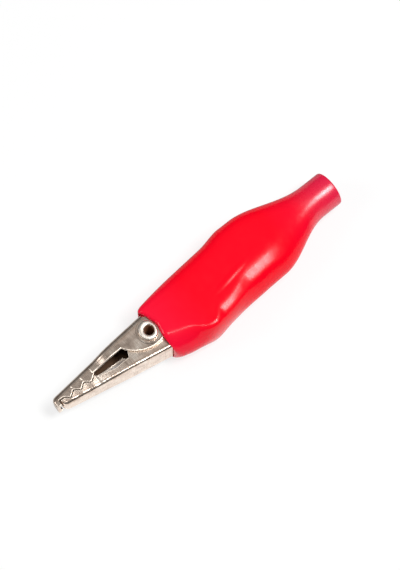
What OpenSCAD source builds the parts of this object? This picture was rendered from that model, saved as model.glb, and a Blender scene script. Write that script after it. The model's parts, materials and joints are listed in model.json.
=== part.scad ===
// Crocodile clip with a dip-moulded boot, lying on its side with the jaws closed.
// X runs along the clip, from the jaw tips to the tail of the boot.
// Y runs across the jaws, with the upper jaw at +Y, and Z is the direction of the hinge rivet.
// The pieces are drawn round the hinge axis and then moved together, so that the origin
// is on the surface below the middle of the clip.

/* [Sheet] */
// Thickness of the steel sheet of both jaws
sheet = 0.5; // [0.4:0.05:0.6]
// Outside radius of the folds
fold_r = 0.7; // [0.65:0.05:0.9]
// Gap between an ear of the upper jaw and the cheek of the lower jaw inside it
ear_gap = 0.06; // [0.05:0.01:0.1]

/* [Jaws] */
// Reach of both jaws in front of the hinge axis
jaw_l = 17.8; // [17:0.1:21]
// Width of both jaws across the tips
tip_w = 3; // [2.6:0.1:3.6]
// Width of the lower jaw across its cheeks at the hinge
cheek_w = 4.9; // [4.6:0.1:6]
// Height of the bite line above the hinge axis
bite_y = 0.3; // [0.2:0.01:0.4]
// Fall of the bite line from the tip towards the hinge, as a slope
bite_fall = 0.055; // [0:0.005:0.07]
// Height of the upper jaw above the bite line at the tip
nose_h = 1.2; // [1.1:0.05:1.5]
// Length of the upper jaw's nose, which is turned down in front of the lower jaw
nose_l = 0.8; // [0.7:0.05:0.9]
// Depth of the nose below the bite line
nose_down = 0.5; // [0.3:0.05:0.6]
// Gap between the nose and the lower jaw's tip
nose_gap = 0.3; // [0.2:0.05:0.35]
// Height above the bite line of the slot behind the nose
slot_up = 0.55; // [0.5:0.05:0.7]
// Height of the back of the upper jaw above the hinge axis
back_h = 2.85; // [2.75:0.05:3]
// Depth of the lower jaw below the bite line at the tip
chin_h = 0.72; // [0.7:0.02:1]
// Depth of the lower jaw below the hinge axis
throat_h = 3.85; // [3.7:0.05:4]

/* [Teeth] */
// Number of teeth on each cheek
tooth_n = 3; // [2:1:3]
// Length of a tooth from root to root
tooth_l = 1.9; // [1.6:0.1:2]
// Height of a tooth
tooth_h = 0.62; // [0.4:0.02:0.7]
// Gap between the closed rows of teeth
bite_gap = 0.1; // [0.08:0.01:0.2]
// Distance from the tip to the first root
tooth_start = 1.6; // [1.5:0.05:1.7]

/* [Wire notch] */
// Height of the notch above the hinge axis
notch_up = 0.58; // [0.5:0.02:0.64]
// Depth of the notch below the hinge axis, just behind the teeth
notch_front = 0.3; // [0.2:0.05:0.5]
// Depth of the notch below the hinge axis, at its flat floor
notch_down = 1.05; // [0.9:0.05:1.15]
// Length of that floor
notch_floor = 2.7; // [2.2:0.1:3]
// Distance from the hinge axis to the back wall of the notch
notch_back = 4.6; // [4.4:0.05:4.8]
// How far that wall leans forward at its foot and back at its top
wall_lean = 0.27; // [0.1:0.01:0.3]

/* [Ears] */
// Depth of the ears below the hinge axis
ear_drop = 2.3; // [2.2:0.05:2.4]
// Radius of the lower edge of the ears
ear_r = 5.3; // [5.1:0.05:5.5]
// Distance from the hinge axis forward to the middle of that edge
ear_fore = 0.2; // [0:0.05:0.3]
// Radius of the pressed boss round the rivet
boss_r = 2; // [1.8:0.05:2.2]
// Height of the pressed boss
boss_h = 0.1; // [0.05:0.01:0.12]

/* [Rivet] */
// Diameter of the hole through the hollow rivet
rivet_hole_d = 1.56; // [1.3:0.02:1.7]
// Wall of the rivet's tube
rivet_wall = 0.27; // [0.22:0.01:0.32]
// Diameter of the rolled lips
lip_d = 2.84; // [2.7:0.02:3]
// Play of the ears on the rivet, on the radius
hinge_play = 0.05; // [0.03:0.01:0.08]

/* [Spring] */
// Diameter of the spring wire
wire_d = 0.6; // [0.5:0.02:0.66]
// Full turns of the coil, to which the part turn between the legs is added
coil_turns = 4; // [3:1:4]
// Gap between the coil and the rivet
coil_gap = 0.2; // [0.1:0.02:0.24]
// Reach of the spring's legs behind the hinge axis
leg_l = 9.5; // [7:0.1:11]
// Gap between a leg and the lever that it presses on
leg_gap = 0.06; // [0.05:0.01:0.1]

/* [Levers] */
// Length of the upper lever behind the hinge axis
lever_l = 18.3; // [17.5:0.1:19]
// Height of the upper lever above the hinge axis at its end
lever_h = 5.45; // [5.2:0.05:5.6]
// How far the end of the upper lever flares up
flare_h = 0.4; // [0.2:0.05:0.5]
// Length of that flare
flare_l = 4; // [3:0.1:5]
// Distance from the hinge axis to the place where the levers spread widest under the fingers
grip_x = 8.5; // [8:0.1:9.5]
// Height of the upper lever above the hinge axis at that place
grip_up = 4.25; // [4.1:0.05:4.4]
// Depth of the lower lever below the hinge axis at that place
grip_down = 5.6; // [5.4:0.05:5.8]
// Distance from the hinge axis to the waist of the lower lever
waist_x = 13.2; // [12.8:0.1:14]
// Depth of the lower lever below the hinge axis at its waist
waist_down = 4.97; // [4.9:0.01:5.1]
// Outside radius of the upper lever's folds under the finger
upper_fold_r = 1.5; // [1.2:0.1:1.6]
// Outside radius of the lower lever's folds under the finger
lower_fold_r = 1.2; // [1.1:0.1:1.4]
// Depth of the side flanges of the upper lever, with the sheet
upper_flange_h = 1.2; // [1:0.05:1.3]
// Depth of the side flanges of the lower lever, with the sheet
lower_flange_h = 0.9; // [0.8:0.05:1]
// Length of the lower lever behind the hinge axis
tail_l = 29.5; // [29:0.1:30]

/* [Cable clamp] */
// Distance from the end of the upper lever back to the wire screw
screw_back = 2.8; // [2.7:0.05:3]
// Depth of the screw seat below the hinge axis
seat_down = 4.75; // [4.6:0.05:4.85]
// Width of the cable clamp
clamp_w = 4.6; // [4.4:0.1:4.7]
// Height of the two tabs of the cable clamp above the sheet
tab_h = 2.4; // [1.8:0.1:2.8]
// Length of the two tabs of the cable clamp
tab_l = 3; // [2.4:0.1:3.2]

/* [Wire screw] */
// Diameter of the screw's thread
screw_d = 2.5; // [2:0.1:2.6]
// Diameter of the screw's head
head_d = 3.7; // [3.4:0.1:3.8]
// Height of the screw's head
head_h = 1.4; // [1.2:0.1:1.6]
// Width of the slot in the head
slot_w = 0.55; // [0.4:0.05:0.7]
// Depth of the slot in the head
slot_h = 0.7; // [0.5:0.05:0.8]
// Height of the collar that is drawn up round the tapped hole
collar_h = 0.6; // [0.4:0.05:0.8]
// Wall of that collar
collar_wall = 0.45; // [0.35:0.05:0.6]
// Play of the thread in its hole, on the radius
screw_play = 0.04; // [0.03:0.01:0.06]

/* [Boot] */
// Wall of the boot
boot_wall = 0.7; // [0.6:0.05:0.9]
// Gap between the boot and the metal inside it
boot_gap = 0.15; // [0.12:0.01:0.25]
// Distance from the hinge axis to the mouth of the boot
mouth_x = 1.15; // [1.1:0.05:1.25]
// Gap between the rivet's lip and the scallop that is cut round it in the mouth
mouth_gap = 0.08; // [0.06:0.01:0.12]
// Height of the boot's mouth above the hinge axis
mouth_up = 3.92; // [3.9:0.01:4.1]
// Rise of the boot behind its mouth, as a slope
mouth_slope = 0.15; // [0.12:0.01:0.2]
// Forward lean of the mouth towards the upper jaw, as a slope
mouth_lean = 0.04; // [0:0.01:0.08]
// Outside radius of the boot's corners at its mouth
mouth_r = 1.3; // [1:0.05:1.4]
// How much rounder the boot is inside its upper corners than the upper lever's folds
upper_ease = 0.4; // [0.2:0.05:0.45]
// How much rounder the boot is inside its lower corners than the lower lever's folds
lower_ease = 1.1; // [0.6:0.05:1.15]
// Diameter of the bore for the lead in the tail of the boot
bore_d = 4.5; // [4.2:0.1:4.7]
// Height of that bore's axis above the hinge axis
bore_y = 0.8; // [0.6:0.05:1]
// Distance from the end of the lower lever back to the front of the tail tube
neck_back = 4.1; // [4:0.1:4.6]
// Length of the tail tube
tube_l = 3.6; // [3.4:0.1:6]

/* [Hidden] */
$fn = 48;

// Lengths that cutters and open sides reach past what they cut
over = 1;
// Height above and below the clip that the side outlines reach
tall = 12;
// Steps of the rounded folds, of a boot corner and round the spring wire
fold_steps = 5;
corner_steps = 7;
wire_sides = 8;
// Angle between two rings along the coil
coil_step = 20;
// Least flat between two corner arcs of the boot
least_flat = 0.04;

// Gap between the lower jaw's hinge lobe and the web of the upper jaw over it
lobe_gap = 0.2;
// How far in front of the grip the flange of each lever starts
upper_lead = 2.6;
lower_lead = 4.2;
// Distance from the last root of the teeth to the foot of the notch's front wall
notch_step = 0.25;
// Distance from the teeth to the place where the ears step out, and the length of that step
step_gap = 0.7;
step_l = 2.8;
// Flat length of the screw seat in front of and behind the screw
seat_reach = 1.6;
// Distance from the tabs of the cable clamp to the end of the sheet, and their corner radius
tab_inset = 0.4;
tab_r = 0.6;
// Gap under the screw's head, and the share of the head that its domed edge takes
head_gap = 0.05;
dome_share = 0.45;
// Distance from the end of the upper lever to the boot's shoulder, where the boot closes in
shoulder_back = 2.5;
// Length of the neck that the bore runs through before the tail tube
throat_l = 2.5;
// Rise of the coil in a turn, in diameters of its wire
coil_rise_share = 1.08;

// Half widths of the lower jaw, the upper jaw and the boot
cheek_half = cheek_w / 2;
ear_half = cheek_half + ear_gap + sheet;
boot_half = ear_half + boot_gap + boot_wall;
// Distance from the outer face of a lever to the outer face of the boot
cover = boot_gap + boot_wall;

// Rivet
hole_r = rivet_hole_d / 2;
rivet_r = hole_r + rivet_wall;
lip_r = lip_d / 2;
// Half the length between the undersides of the lips
rivet_half = ear_half + boss_h + hinge_play;

// Coil
wire_r = wire_d / 2;
coil_r = rivet_r + coil_gap + wire_r;
coil_pitch = wire_d * coil_rise_share;

// Screw and its hole
screw_r = screw_d / 2;
tap_r = screw_r + screw_play;
collar_r = tap_r + collar_wall;
screw_x = lever_l + screw_back;
seat_front = screw_x - seat_reach;
seat_end = screw_x + seat_reach;

// Boot
tube_r = bore_d / 2 + boot_wall;
neck_x = tail_l + neck_back;
tube_end = neck_x + tube_l;
boot_hi = lever_h + cover;
boot_lo = -grip_down - cover;
shoulder_x = lever_l + shoulder_back;

// Middle of the whole clip along and across, and its height above the surface
mid_x = (tube_end - jaw_l) / 2;
mid_y = (boot_hi + boot_lo) / 2;
seat_z = boot_half;

// Share from 0 to 1 of the way from a to b, straight and smooth
function share(x, a, b) = max(0, min(1, (x - a) / (b - a)));
function ease(x, a, b) = let (s = share(x, a, b)) s * s * (3 - 2 * s);
function mix(a, b, s) = a + (b - a) * s;
// Curve from [x, y, slope] p to [x, y, slope] q
function bend(x, p, q) =
    let (w = q[0] - p[0], s = share(x, p[0], q[0]))
    mix(p[1], q[1], s * s * (3 - 2 * s))
    + w * s * (1 - s) * (p[2] * (1 - s) - q[2] * s);
// Numbers from a to b in n equal steps, without b
function steps(a, b, n) = [for (i = [0 : n - 1]) mix(a, b, i / n)];

// Outer line of the upper jaw and lever along the clip
nose_y = bite_y + nose_h;
back_slope = (back_h - nose_y) / jaw_l;
grip_slope = (lever_h - flare_h - grip_up) / (lever_l - grip_x);
flare_x = lever_l - flare_l;
function top_line(x) =
    x < 0 ? back_h + back_slope * x
    : x < grip_x ? bend(x, [0, back_h, back_slope], [grip_x, grip_up, grip_slope])
    : grip_up + grip_slope * (x - grip_x) + flare_h * ease(x, flare_x, lever_l);

// Outer line of the lower jaw and lever, as a depth below the hinge axis
chin_y = chin_h - bite_y;
throat_slope = (throat_h - chin_y) / jaw_l;
waist_slope = (seat_down - waist_down) / (seat_front - waist_x);
clamp_y = tube_r - bore_y - cover;
function low_line(x) =
    x < 0 ? throat_h + throat_slope * x
    : x < grip_x ? bend(x, [0, throat_h, throat_slope], [grip_x, grip_down, 0])
    : x < waist_x ? bend(x, [grip_x, grip_down, 0], [waist_x, waist_down, waist_slope])
    : x < seat_end ? mix(waist_down, seat_down, share(x, waist_x, seat_front))
    : mix(seat_down, clamp_y, ease(x, seat_end, neck_x));

// Half widths along the clip: the ears step out round the cheeks behind the teeth
tooth_end = tooth_start + tooth_n * tooth_l;
step_front = -jaw_l + tooth_end + step_gap;
step_back = step_front + step_l;
function jaw_width(x) = mix(tip_w / 2, cheek_half, share(x, -jaw_l, -ear_r));
function ear_width(x) = jaw_width(x) + (ear_gap + sheet) * ease(x, step_front, step_back);
clamp_front = screw_x + collar_r;
clamp_back = tail_l - tab_l;
function cheek_width(x) = mix(jaw_width(x), clamp_w / 2, ease(x, clamp_front, clamp_back));

// Fold radii along the clip: wide under the finger, and a half round trough at the clamp
function top_fold(x) = mix(fold_r, upper_fold_r, ease(x, 0, grip_x));
function low_fold(x) =
    x < clamp_front ? mix(fold_r, lower_fold_r, ease(x, 0, grip_x))
    : mix(lower_fold_r, clamp_w / 2 - least_flat, ease(x, clamp_front, clamp_back));

// Tooth edge: a row of triangles with rounded tips, which starts and ends at an upper root
tooth_round = 0.96;
tooth_points = 8;
function tooth_wave(s) = asin(tooth_round * cos(360 * s)) / asin(tooth_round);
function bite_line(x) = bite_y - bite_fall * (x + jaw_l);
function tooth_edge(side) = [
    for (i = [0 : tooth_n * tooth_points])
        let (s = i / tooth_points, x = -jaw_l + tooth_start + s * tooth_l)
        [x, bite_line(x) + side * bite_gap / 2 + tooth_h / 2 * tooth_wave(s)]
];

// Solid between rings of points, which run anticlockwise as seen from the last ring's side
module skin(rings) {
    n = len(rings[0]);
    m = len(rings);
    sides = [
        for (i = [0 : m - 2], j = [0 : n - 1])
            let (k = (j + 1) % n)
            [(i + 1) * n + j, (i + 1) * n + k, i * n + k, i * n + j]
    ];
    front = [for (j = [0 : n - 1]) j];
    back = [for (j = [n - 1 : -1 : 0]) (m - 1) * n + j];
    polyhedron([for (r = rings) each r], concat([front], sides, [back]), convexity = 8);
}

// Section of a folded channel: web at y = web, open side at y = open, folds of radius r
function channel_ring(x, web, half, r, open) = [
    [x, open, -half],
    for (i = [0 : fold_steps])
        let (a = 90 * i / fold_steps)
        [x, web - r + r * sin(a), -half + r - r * cos(a)],
    for (i = [0 : fold_steps])
        let (a = 90 * i / fold_steps)
        [x, web - r + r * cos(a), half - r + r * sin(a)],
    [x, open, half]
];

// How far the web has dropped at a distance d behind the rounded tip
function tip_drop(d) = d < fold_r ? fold_r - sqrt(fold_r * fold_r - pow(fold_r - d, 2)) : 0;
// Stations along a rounded tip at x = tip
function tip_xs(tip) = [for (a = [0 : 18 : 72]) tip + fold_r * (1 - cos(a))];
// Stations of the inside of a channel with the stations xs, behind the plate that closes its tip
function inner_xs(tip, xs, end) = concat(
    [tip + sheet],
    [for (x = xs) if (x > tip + fold_r / 2 + sheet) x],
    [end + over]
);

// The lower jaw's tip stands behind the nose
chin_x = -jaw_l + nose_l + nose_gap;
upper_lever_xs = concat(steps(grip_x, flare_x, 2), steps(flare_x, lever_l, 5), [lever_l]);
upper_xs = concat(
    tip_xs(-jaw_l),
    steps(-jaw_l + fold_r, step_front, 2),
    steps(step_front, step_back, 6),
    [step_back, -ear_r],
    steps(0, grip_x, 8),
    upper_lever_xs
);
lower_lever_xs = concat(
    steps(grip_x, waist_x, 6),
    [waist_x, seat_front],
    steps(clamp_front, tail_l, 9),
    [tail_l]
);
lower_xs = concat(tip_xs(chin_x), [chin_x + fold_r, -ear_r], steps(0, grip_x, 8), lower_lever_xs);

// Folded channel of the upper jaw, which is open towards -Y and behind
module upper_channel() {
    difference() {
        skin([
            for (x = upper_xs)
                channel_ring(
                    x, top_line(x) - tip_drop(x + jaw_l), ear_width(x), top_fold(x), -tall / 2
                )
        ]);
        skin([
            for (x = inner_xs(-jaw_l, upper_xs, lever_l))
                channel_ring(
                    x, top_line(x) - sheet, ear_width(x) - sheet, top_fold(x) - sheet,
                    -tall / 2 - over
                )
        ]);
    }
}

// Folded channel of the lower jaw, drawn with its web at +Y and then mirrored
module lower_channel() {
    mirror([0, 1, 0])
        difference() {
            skin([
                for (x = lower_xs)
                    channel_ring(
                        x, low_line(x) - tip_drop(x - chin_x), cheek_width(x), low_fold(x), -tall / 2
                    )
            ]);
            skin([
                for (x = inner_xs(chin_x, lower_xs, tail_l))
                    channel_ring(
                        x, low_line(x) - sheet, cheek_width(x) - sheet, low_fold(x) - sheet,
                        -tall / 2 - over
                    )
            ]);
        }
}

// Side outline of the upper jaw above its nose, slot, teeth, notch, ear and flange
ear_y = ear_r - ear_drop;
upper_start = grip_x - upper_lead;
flange_mid = mix(upper_start, grip_x, 0.6);
ear_a0 = 180 + asin((ear_y - notch_up) / ear_r);
ear_a1 = 360 - asin((ear_y - top_line(upper_start) + upper_flange_h) / ear_r);
ear_steps = 14;
module upper_outline() {
    polygon(concat(
        [[-jaw_l - over, bite_y - nose_down], [-jaw_l + nose_l, bite_y - nose_down]],
        [[-jaw_l + nose_l, bite_y + slot_up], [chin_x, bite_y + slot_up]],
        tooth_edge(1),
        [[-jaw_l + tooth_end + notch_step, notch_up]],
        [
            for (i = [0 : ear_steps])
                let (a = mix(ear_a0, ear_a1, i / ear_steps))
                [ear_r * cos(a) - ear_fore, ear_y + ear_r * sin(a)]
        ],
        [
            for (x = concat([flange_mid], upper_lever_xs))
                [x, top_line(x) - upper_flange_h]
        ],
        [[lever_l + over, lever_h - upper_flange_h]],
        [[lever_l + over, tall], [-jaw_l - over, tall]]
    ));
}

// Side outline of the lower jaw below its teeth, notch, hinge lobe, flange and tabs
lobe_r = back_h - sheet - lobe_gap;
tail_edge = lower_flange_h - low_line(tail_l);
module lower_outline() {
    polygon(concat(
        [[chin_x - over, tooth_edge(-1)[0][1]]],
        tooth_edge(-1),
        [[-jaw_l + tooth_end + notch_step, -notch_front]],
        [[-notch_back - notch_floor, -notch_down], [-notch_back - wall_lean, -notch_down]],
        [[-notch_back + wall_lean, 0], [0, lobe_r - lobe_gap]],
        [
            for (x = concat(steps(grip_x - lower_lead, grip_x, 5), lower_lever_xs))
                [x, lower_flange_h - low_line(x)]
        ],
        [[tail_l + over, tail_edge], [tail_l + over, -tall], [chin_x - over, -tall]]
    ));
    circle(lobe_r);
    clamp_tab();
}

// One tab of the cable clamp, seen from the side, with rounded corners
tab_front = tail_l - tab_inset - tab_l;
module clamp_tab() {
    y0 = -seat_down;
    y1 = sheet - low_line(tail_l - tab_l / 2) + tab_h;
    translate([tab_front + tab_r, y0]) square([tab_l - 2 * tab_r, y1 - y0]);
    translate([tab_front, y0]) square([tab_l, y1 - y0 - tab_r]);
    for (x = [tab_front + tab_r, tab_front + tab_l - tab_r])
        translate([x, y1 - tab_r]) circle(tab_r);
}

// Moves a piece from the hinge axis to the place of the whole clip
module placed() {
    translate([-mid_x, -mid_y, seat_z]) children();
}

module upper_jaw() {
    color("#b4aba3")
        placed()
            difference() {
                union() {
                    intersection() {
                        upper_channel();
                        linear_extrude(2 * tall, center = true) upper_outline();
                    }
                    for (side = [-1, 1])
                        translate([0, 0, side * (ear_half - sheet / 2 + boss_h / 2)])
                            cylinder(h = sheet + boss_h, r = boss_r, center = true);
                }
                cylinder(h = 2 * tall, r = rivet_r + hinge_play, center = true);
            }
}

module lower_jaw() {
    color("#b4aba3")
        placed()
            difference() {
                union() {
                    intersection() {
                        lower_channel();
                        linear_extrude(2 * tall, center = true) lower_outline();
                    }
                    translate([screw_x, -seat_down + sheet / 2, 0])
                        rotate([-90, 0, 0]) cylinder(h = sheet / 2 + collar_h, r = collar_r);
                }
                cylinder(h = 2 * tall, r = rivet_r, center = true);
                translate([screw_x, -seat_down - over, 0])
                    rotate([-90, 0, 0]) cylinder(h = sheet + collar_h + 2 * over, r = tap_r);
            }
}

// Hollow rivet with a rolled lip at both ends
lip_steps = 10;
module hinge_rivet() {
    roll_r = (lip_r - hole_r) / 2;
    color("#d8d0c6")
        placed()
            rotate_extrude()
                polygon(concat(
                    [
                        for (i = [0 : lip_steps])
                            let (a = 180 - 180 * i / lip_steps)
                            [lip_r - roll_r + roll_r * cos(a), rivet_half + roll_r * sin(a)]
                    ],
                    [[rivet_r, rivet_half], [rivet_r, -rivet_half]],
                    [
                        for (i = [0 : lip_steps])
                            let (a = -180 * i / lip_steps)
                            [lip_r - roll_r + roll_r * cos(a), -rivet_half + roll_r * sin(a)]
                    ]
                ));
}

// Where each leg ends, on the inner face of its lever
leg_up = [leg_l, top_line(leg_l) - sheet - wire_r - leg_gap];
leg_down = [leg_l, -low_line(leg_l) + sheet + wire_r + leg_gap];
// Angles at which the legs leave the coil
function leave(p, side) = atan2(p[1], p[0]) + side * acos(coil_r / norm(p));
coil_from = leave(leg_down, -1);
coil_to = leave(leg_up, 1) - 360 * (coil_turns + 1);
coil_rise = coil_pitch * (coil_from - coil_to) / 360;
coil_n = ceil((coil_from - coil_to) / coil_step);
coil_path = [
    for (i = [0 : coil_n])
        let (s = i / coil_n, a = mix(coil_from, coil_to, s))
        [coil_r * cos(a), coil_r * sin(a), coil_rise * (s - 0.5)]
];
wire_path = concat(
    [[leg_down[0], leg_down[1], -coil_rise / 2]],
    coil_path,
    [[leg_up[0], leg_up[1], coil_rise / 2]]
);

function unit(v) = v / norm(v);
// Ring of the wire round path point i, square to the path there
function wire_ring(i) =
    let (
        last = len(wire_path) - 1,
        t = unit(wire_path[min(i + 1, last)] - wire_path[max(i - 1, 0)]),
        b = unit([0, 0, 1] - t * t[2]),
        n = cross(b, t)
    )
    [
        for (j = [0 : wire_sides - 1])
            let (a = 360 * j / wire_sides)
            wire_path[i] + wire_r * (cos(a) * n + sin(a) * b)
    ];

module torsion_spring() {
    color("#8f8a84") placed() skin([for (i = [0 : len(wire_path) - 1]) wire_ring(i)]);
}

// Slotted pan-head screw, which stands on its collar
head_y = collar_h + sheet - seat_down + head_gap;
module wire_screw() {
    dome = head_h * dome_share;
    color("#cfc7bc")
        placed()
            translate([screw_x, head_y, 0])
                rotate([-90, 0, 0])
                    difference() {
                        rotate_extrude()
                            polygon(concat(
                                [[0, -seat_down - head_y], [screw_r, -seat_down - head_y]],
                                [[screw_r, 0], [head_d / 2, 0]],
                                [
                                    for (a = [0 : 15 : 90])
                                        [
                                            head_d / 2 - dome + dome * cos(a),
                                            head_h - dome + dome * sin(a)
                                        ]
                                ],
                                [[0, head_h]]
                            ));
                        translate([0, 0, head_h - slot_h / 2 + over / 2])
                            cube([head_d + over, slot_w, slot_h + over], center = true);
                    }
}

// Outlines of the boot along the clip
function boot_top(x) =
    x < grip_x ? bend(x, [mouth_x, mouth_up, mouth_slope], [grip_x, grip_up + cover, grip_slope])
    : x < lever_l ? top_line(x) + cover
    : mix(boot_hi, bore_y + tube_r, ease(x, shoulder_x, neck_x));
function boot_low(x) = -low_line(x) - cover;
function boot_side(x) = mix(boot_half, tube_r, ease(x, shoulder_x, neck_x));
// Outside radius of a corner of the boot, which is corner_r between the grip and the shoulder
function boot_corner(x, corner_r) =
    let (most = min(boot_top(x) - boot_low(x), 2 * boot_side(x)) / 2 - least_flat)
    mix(mix(mouth_r, corner_r, ease(x, mouth_x, grip_x)), most, ease(x, shoulder_x, neck_x));

// Section of the boot at x, drawn in by d from its outer face
function boot_ring(x, d) =
    let (
        lean = mouth_lean * (1 - ease(x, mouth_x, grip_x)),
        up_r = boot_corner(x, upper_fold_r + upper_ease + boot_wall) - d,
        low_r = boot_corner(x, lower_fold_r + lower_ease + boot_wall) - d,
        lo = boot_low(x) + d + low_r,
        hi = boot_top(x) - d - up_r,
        low_side = boot_side(x) - d - low_r,
        up_side = boot_side(x) - d - up_r
    )
    [
        for (c = [
            [lo, -low_side, low_r, 180], [hi, -up_side, up_r, 270],
            [hi, up_side, up_r, 0], [lo, low_side, low_r, 90]
        ])
            for (i = [0 : corner_steps])
                let (a = c[3] + 90 * i / corner_steps, y = c[0] + c[2] * cos(a))
                [x - lean * y, y, c[1] + c[2] * sin(a)]
    ];

boot_xs = concat(
    steps(mouth_x, grip_x, 6),
    steps(grip_x, waist_x, 5),
    steps(waist_x, shoulder_x, 9),
    steps(shoulder_x, neck_x, 12),
    [neck_x]
);

module boot() {
    cavity_end = neck_x - throat_l;
    cavity_xs = [for (x = boot_xs) if (x > mouth_x && x < cavity_end) x];
    color("#ff0022")
        placed()
            difference() {
                skin([for (x = concat(boot_xs, [tube_end])) boot_ring(x, 0)]);
                skin([
                    for (x = concat([mouth_x - over], cavity_xs, [cavity_end]))
                        boot_ring(x, boot_wall)
                ]);
                translate([cavity_end - over, bore_y, 0])
                    rotate([0, 90, 0]) cylinder(h = tube_l + throat_l + 2 * over, d = bore_d);
                cylinder(h = 2 * tall, r = lip_r + mouth_gap, center = true);
            }
}

upper_jaw();
lower_jaw();
hinge_rivet();
torsion_spring();
wire_screw();
boot();
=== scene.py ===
import json
import math

import bmesh
import bpy
from mathutils import Matrix, Vector


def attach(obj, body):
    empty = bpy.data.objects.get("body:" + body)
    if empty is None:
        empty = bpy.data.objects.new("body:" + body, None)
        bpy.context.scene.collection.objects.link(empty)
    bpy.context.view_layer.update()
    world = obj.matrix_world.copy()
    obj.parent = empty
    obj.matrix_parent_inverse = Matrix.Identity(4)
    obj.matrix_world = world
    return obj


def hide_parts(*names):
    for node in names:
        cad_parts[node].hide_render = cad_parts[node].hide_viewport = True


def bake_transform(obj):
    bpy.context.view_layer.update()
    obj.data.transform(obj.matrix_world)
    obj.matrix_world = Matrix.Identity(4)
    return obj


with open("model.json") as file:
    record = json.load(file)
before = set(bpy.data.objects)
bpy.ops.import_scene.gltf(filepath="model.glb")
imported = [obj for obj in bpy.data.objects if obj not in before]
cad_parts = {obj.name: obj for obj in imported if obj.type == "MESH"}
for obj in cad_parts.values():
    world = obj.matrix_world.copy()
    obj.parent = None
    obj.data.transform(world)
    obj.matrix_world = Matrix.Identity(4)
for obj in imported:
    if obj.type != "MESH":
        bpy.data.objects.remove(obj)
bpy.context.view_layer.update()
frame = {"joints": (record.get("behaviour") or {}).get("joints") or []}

# Lengths are millimetres in the clip's own frame: the hinge axis is Z through the origin, X runs
# to the tail, Y to the upper jaw. ROW_ORIGIN moves a point from there to the row frame.
MM = 0.001
ROW_ORIGIN = Vector(next(j["pos_m"] for j in frame["joints"] if j["name"] == "jaw_hinge"))

# Sheet and jaws
SHEET = 0.5
FOLD_R = 0.7
JAW_FOLD_R = 0.48
EAR_GAP = 0.06
JAW_L = 17.8
TIP_W = 3.0
CHEEK_HALF = 2.45
EAR_HALF = CHEEK_HALF + EAR_GAP + SHEET
BITE_Y = 0.3
BITE_FALL = 0.055
NOSE_H = 1.2
NOSE_L = 0.8
NOSE_GAP = 0.22
NOSE_DOWN = 0.5
SLOT_UP = 0.35
CHIN_L = JAW_L - NOSE_L - 0.15
BACK_H = 2.85
CHIN_H = 0.72
THROAT_H = 3.85
TOOTH_N = 3
TOOTH_L = 1.9
TOOTH_H = 0.62
TOOTH_START = 1.6
TOOTH_ROUND = 0.96
TOOTH_END = TOOTH_START + TOOTH_N * TOOTH_L
BITE_GAP = 0.15
NOTCH_TOP = 0.58
NOTCH_FRONT = 0.3
NOTCH_LOW = 1.05
NOTCH_BACK = 4.6
NOTCH_MID = 2.7
WALL_LEAN = 0.27
CHEEK_LEAN = 0.1
EAR_DROP = 2.3
EAR_R = 5.3
EAR_FORE = 0.2
LOBE_R = 2.15
STEP_FRONT = -JAW_L + TOOTH_END + 0.7
STEP_BACK = STEP_FRONT + 2.8
# How far the lobe's line starts below its round, and the runs of the ramps from the last teeth
# into the notch
LOBE_FOOT = 0.2
UPPER_RAMP = 0.2
LOWER_RAMP = 0.25
# Run along the clip of a cut that goes straight up
UPRIGHT = 0.01
# Levers and cable clamp
LEVER_L = 18.3
LEVER_H = 5.45
FLARE_H = 0.4
FLARE_L = 4.0
GRIP_X = 8.5
GRIP_UP = 4.25
GRIP_DOWN = 5.6
WAIST_X = 13.2
WAIST_DOWN = 4.97
UPPER_FOLD_R = 1.5
LOWER_FOLD_R = 1.2
UPPER_FLANGE = 1.2
LOWER_FLANGE = 0.9
TAIL_L = 29.5
SCREW_X = 21.1
SEAT_DOWN = 4.75
SEAT_FRONT = 19.5
SEAT_END = 22.7
CLAMP_HALF = 2.3
CLAMP_FRONT = 22.84
TAB_FRONT = 26.1
TAB_BACK = 29.1
TAB_H = 2.4
TAB_R = 0.6
# Rivet, spring and screw
HOLE_R = 0.75
RIVET_R = 1.05
LIP_R = 1.66
RIVET_HALF = 3.16
BOSS_H = 0.06
WIRE_R = 0.3
COIL_R = 1.55
COIL_TURNS = 4
COIL_PITCH = 0.648
LEG_L = 9.5
LEG_GAP = 0.06
SCREW_R = 1.25
TAP_R = 1.29
COLLAR_R = 1.74
COLLAR_H = 0.6
HEAD_R = 1.85
HEAD_H = 1.4
SLOT_W = 0.55
SLOT_H = 0.7
HEAD_Y = COLLAR_H + SHEET - SEAT_DOWN + 0.05
# Boot
WALL = 0.7
BOOT_GAP = 0.15
COVER = WALL + BOOT_GAP
BOOT_HALF = EAR_HALF + COVER
MOUTH_X = 1.15
MOUTH_UP = 3.92
MOUTH_SLOPE = 0.15
MOUTH_R = 1.3
MOUTH_FADE = 3.5
UPPER_EASE = 0.4
BORE_R = 2.25
BORE_Y = 0.8
TUBE_R = BORE_R + WALL
NECK_X = 33.6
TUBE_END = 37.2
CAVITY_END = 31.1
SHOULDER_X = LEVER_L + 2.5

# Radius of a cut sheet edge, broken by tumbling before plating; of the tip's sides and cut edge;
# and of a sheet's tail end
CUT_R = 0.09
TIP_SIDE_R = 0.3
TIP_EDGE_R = 0.12
END_R = 0.12
# What a section keeps at the least: of the flat of its web, of the cheek below a fold, of a fold
# at the tip, of a fold's inner side, and of its depth
WEB_LEFT, CHEEK_LEFT, FOLD_LEFT, INNER_LEFT, DEPTH_LEFT = 0.02, 0.03, 0.12, 0.15, 0.1
# Keeps two points apart that would otherwise fall together
APART = 0.01
# Points of a section: half a web, a fold, a cheek and a cut edge
WEB_N = 5
FOLD_N = 8
CHEEK_N = 6
CUT_N = 4
# How far from each end of a cheek a point lies that keeps it flat
CHEEK_EDGE = 0.12
# How dark the painted line is on the cheek beside a fold: a painted dark reflection at the edge of
# the fold's highlight
PAINTED_FOLD_LINE = -0.8
# Length of a step between stations where the outline is fine
FINE = 0.06
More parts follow.
